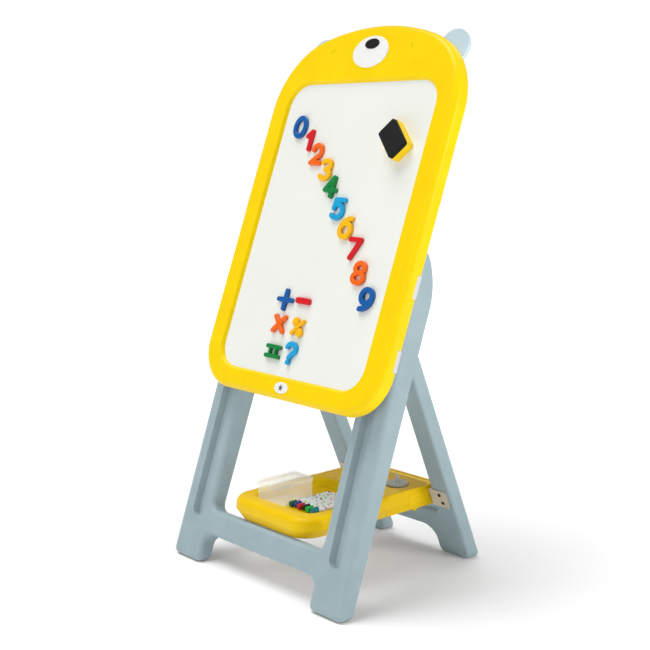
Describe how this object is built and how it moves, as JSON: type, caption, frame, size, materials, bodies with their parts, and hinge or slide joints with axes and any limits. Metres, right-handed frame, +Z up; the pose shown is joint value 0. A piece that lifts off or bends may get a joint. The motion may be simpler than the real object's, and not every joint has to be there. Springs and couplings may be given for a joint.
{
  "type": "kids easel",
  "caption": "Folding children's easel: arched board with magnetic white face and chalk back on splayed moulded legs, with a pivoting lidded tool tray.",
  "frame": {"origin": "on the floor, midway across and midway between the front edge of the front feet and the back edge of the rear feet", "axes": "+X to the right of a child facing the white board, +Y rearward, +Z up; the white board faces -Y"},
  "size_m": [0.5048, 0.4392, 1.013],
  "materials": {
    "blue_grey_hdpe": "satin",
    "yellow_hdpe": "satin",
    "steel_pin": "satin",
    "white_steel": "gloss",
    "chalk_green": "matt",
    "white_pp": "satin",
    "pale_blue_hdpe": "satin",
    "black_plastic": "satin",
    "dark_steel": "satin",
    "beige_plastic": "satin",
    "clear_lid": "gloss",
    "frosted_box": "satin",
    "knob_grey": "satin",
    "grey_print": "matt",
    "eraser_yellow": "satin",
    "felt_black": "matt",
    "blue": "gloss",
    "red": "gloss",
    "orange": "gloss",
    "amber": "gloss",
    "green": "gloss",
    "sky": "gloss",
    "dark_green": "gloss",
    "purple": "gloss",
    "black": "gloss",
    "bright_green": "gloss",
    "teal": "gloss",
    "marker_white": "gloss"
  },
  "bodies": {
    "stand": {"front_frame": "blue_grey_hdpe", "hinge_pins": "steel_pin", "board_clips": "white_pp", "clip_screws": "dark_steel"},
    "rear_leg": {"rear_frame": "blue_grey_hdpe", "left_tray_bracket": "beige_plastic", "right_tray_bracket": "beige_plastic", "bracket_screws": "dark_steel", "tray_pivot_pins": "steel_pin"},
    "board": {"board_front_bezel": "yellow_hdpe", "board_rear_bezel": "yellow_hdpe", "whiteboard_sheet": "white_steel", "chalkboard_sheet": "chalk_green", "board_core": "white_pp", "board_screws": "dark_steel", "left_ear": "pale_blue_hdpe", "right_ear": "pale_blue_hdpe", "muzzle_plate": "white_pp", "nose": "black_plastic", "badge": "white_pp", "badge_motif": "grey_print"},
    "tray": {"tray_basin": "yellow_hdpe"},
    "lid": {"tray_lid": "clear_lid"},
    "knob": {"lid_knob": "knob_grey"},
    "clear_box": {"box_base": "frosted_box"},
    "clear_box_lid": {"box_lid": "frosted_box"},
    "eraser": {"eraser_body": "eraser_yellow", "eraser_felt": "felt_black"},
    "digit_0_magnet": {"digit_0": "blue"},
    "digit_1_magnet": {"digit_1": "red"},
    "digit_2_magnet": {"digit_2": "orange"},
    "digit_3_magnet": {"digit_3": "amber"},
    "digit_4_magnet": {"digit_4": "green"},
    "digit_5_magnet": {"digit_5": "sky"},
    "digit_6_magnet": {"digit_6": "amber"},
    "digit_7_magnet": {"digit_7": "red"},
    "digit_8_magnet": {"digit_8": "orange"},
    "digit_9_magnet": {"digit_9": "blue"},
    "sign_plus_magnet": {"sign_plus": "blue"},
    "sign_minus_magnet": {"sign_minus": "red"},
    "sign_times_magnet": {"sign_times": "orange"},
    "sign_percent_magnet": {"sign_percent": "amber"},
    "sign_equals_magnet": {"sign_equals": "green"},
    "sign_question_magnet": {"sign_question": "sky"},
    "marker_1": {"marker_barrel_1": "marker_white"},
    "marker_1_cap": {"marker_cap_1": "dark_green"},
    "marker_2": {"marker_barrel_2": "marker_white"},
    "marker_2_cap": {"marker_cap_2": "purple"},
    "marker_3": {"marker_barrel_3": "marker_white"},
    "marker_3_cap": {"marker_cap_3": "red"},
    "marker_4": {"marker_barrel_4": "marker_white"},
    "marker_4_cap": {"marker_cap_4": "black"},
    "marker_5": {"marker_barrel_5": "marker_white"},
    "marker_5_cap": {"marker_cap_5": "bright_green"},
    "marker_6": {"marker_barrel_6": "marker_white"},
    "marker_6_cap": {"marker_cap_6": "teal"}
  },
  "joints": [
    {"name": "rear_leg_fold", "type": "hinge", "parent": "stand", "child": "rear_leg", "pos_m": [0, -0.02338, 0.53478], "axis": [-1, 0, 0], "range_deg": [0, 26]},
    {"name": "tray_pivot", "type": "hinge", "parent": "rear_leg", "child": "tray", "pos_m": [0, 0.1401, 0.12842], "axis": [-1, 0, 0], "range_deg": [-12, 0.5]},
    {"name": "tray_lid_open", "type": "hinge", "parent": "tray", "child": "lid", "pos_m": [0, 0.15229, 0.148], "axis": [-1, 0, 0], "range_deg": [0, 95]},
    {"name": "lid_knob_turn", "type": "hinge", "parent": "lid", "child": "knob", "pos_m": [0.051, 0.09762, 0.14632], "axis": [0, -0.0262, 0.9997], "range_deg": [0, 90]},
    {"name": "board_lift_off", "type": "slide", "parent": "stand", "child": "board", "axis": [0, -0.94, 0.3412], "range_m": [0, 0.06]},
    {"name": "clear_box_lift_out", "type": "slide", "parent": "tray", "child": "clear_box", "axis": [0, -0.0262, 0.9997], "range_m": [0, 0.08]},
    {"name": "clear_box_lid_lift", "type": "slide", "parent": "clear_box", "child": "clear_box_lid", "axis": [0, -0.0262, 0.9997], "range_m": [0, 0.03]},
    {"name": "eraser_lift_off", "type": "slide", "parent": "board", "child": "eraser", "axis": [0, -0.94, 0.3412], "range_m": [0, 0.05]},
    {"name": "digit_0_lift_off", "type": "slide", "parent": "board", "child": "digit_0_magnet", "axis": [0, -0.94, 0.3412], "range_m": [0, 0.05]},
    {"name": "digit_1_lift_off", "type": "slide", "parent": "board", "child": "digit_1_magnet", "axis": [0, -0.94, 0.3412], "range_m": [0, 0.05]},
    {"name": "digit_2_lift_off", "type": "slide", "parent": "board", "child": "digit_2_magnet", "axis": [0, -0.94, 0.3412], "range_m": [0, 0.05]},
    {"name": "digit_3_lift_off", "type": "slide", "parent": "board", "child": "digit_3_magnet", "axis": [0, -0.94, 0.3412], "range_m": [0, 0.05]},
    {"name": "digit_4_lift_off", "type": "slide", "parent": "board", "child": "digit_4_magnet", "axis": [0, -0.94, 0.3412], "range_m": [0, 0.05]},
    {"name": "digit_5_lift_off", "type": "slide", "parent": "board", "child": "digit_5_magnet", "axis": [0, -0.94, 0.3412], "range_m": [0, 0.05]},
    {"name": "digit_6_lift_off", "type": "slide", "parent": "board", "child": "digit_6_magnet", "axis": [0, -0.94, 0.3412], "range_m": [0, 0.05]},
    {"name": "digit_7_lift_off", "type": "slide", "parent": "board", "child": "digit_7_magnet", "axis": [0, -0.94, 0.3412], "range_m": [0, 0.05]},
    {"name": "digit_8_lift_off", "type": "slide", "parent": "board", "child": "digit_8_magnet", "axis": [0, -0.94, 0.3412], "range_m": [0, 0.05]},
    {"name": "digit_9_lift_off", "type": "slide", "parent": "board", "child": "digit_9_magnet", "axis": [0, -0.94, 0.3412], "range_m": [0, 0.05]},
    {"name": "sign_plus_lift_off", "type": "slide", "parent": "board", "child": "sign_plus_magnet", "axis": [0, -0.94, 0.3412], "range_m": [0, 0.05]},
    {"name": "sign_minus_lift_off", "type": "slide", "parent": "board", "child": "sign_minus_magnet", "axis": [0, -0.94, 0.3412], "range_m": [0, 0.05]},
    {"name": "sign_times_lift_off", "type": "slide", "parent": "board", "child": "sign_times_magnet", "axis": [0, -0.94, 0.3412], "range_m": [0, 0.05]},
    {"name": "sign_percent_lift_off", "type": "slide", "parent": "board", "child": "sign_percent_magnet", "axis": [0, -0.94, 0.3412], "range_m": [0, 0.05]},
    {"name": "sign_equals_lift_off", "type": "slide", "parent": "board", "child": "sign_equals_magnet", "axis": [0, -0.94, 0.3412], "range_m": [0, 0.05]},
    {"name": "sign_question_lift_off", "type": "slide", "parent": "board", "child": "sign_question_magnet", "axis": [0, -0.94, 0.3412], "range_m": [0, 0.05]},
    {"name": "marker_1_lift_out", "type": "slide", "parent": "tray", "child": "marker_1", "axis": [0, -0.0262, 0.9997], "range_m": [0, 0.06]},
    {"name": "marker_1_cap_pull", "type": "slide", "parent": "marker_1", "child": "marker_1_cap", "axis": [0, -0.9997, -0.0262], "range_m": [0, 0.0085]},
    {"name": "marker_2_lift_out", "type": "slide", "parent": "tray", "child": "marker_2", "axis": [0, -0.0262, 0.9997], "range_m": [0, 0.06]},
    {"name": "marker_2_cap_pull", "type": "slide", "parent": "marker_2", "child": "marker_2_cap", "axis": [0, -0.9997, -0.0262], "range_m": [0, 0.0085]},
    {"name": "marker_3_lift_out", "type": "slide", "parent": "tray", "child": "marker_3", "axis": [0, -0.0262, 0.9997], "range_m": [0, 0.06]},
    {"name": "marker_3_cap_pull", "type": "slide", "parent": "marker_3", "child": "marker_3_cap", "axis": [0, -0.9997, -0.0262], "range_m": [0, 0.0085]},
    {"name": "marker_4_lift_out", "type": "slide", "parent": "tray", "child": "marker_4", "axis": [0, -0.0262, 0.9997], "range_m": [0, 0.06]},
    {"name": "marker_4_cap_pull", "type": "slide", "parent": "marker_4", "child": "marker_4_cap", "axis": [0, -0.9997, -0.0262], "range_m": [0, 0.0085]},
    {"name": "marker_5_lift_out", "type": "slide", "parent": "tray", "child": "marker_5", "axis": [0, -0.0262, 0.9997], "range_m": [0, 0.06]},
    {"name": "marker_5_cap_pull", "type": "slide", "parent": "marker_5", "child": "marker_5_cap", "axis": [0, -0.9997, -0.0262], "range_m": [0, 0.0085]},
    {"name": "marker_6_lift_out", "type": "slide", "parent": "tray", "child": "marker_6", "axis": [0, -0.0262, 0.9997], "range_m": [0, 0.06]},
    {"name": "marker_6_cap_pull", "type": "slide", "parent": "marker_6", "child": "marker_6_cap", "axis": [0, -0.9997, -0.0262], "range_m": [0, 0.0085]}
  ],
  "couplings": [
    {"joint": "tray_pivot", "follows": "rear_leg_fold", "ratio": -0.45}
  ]
}
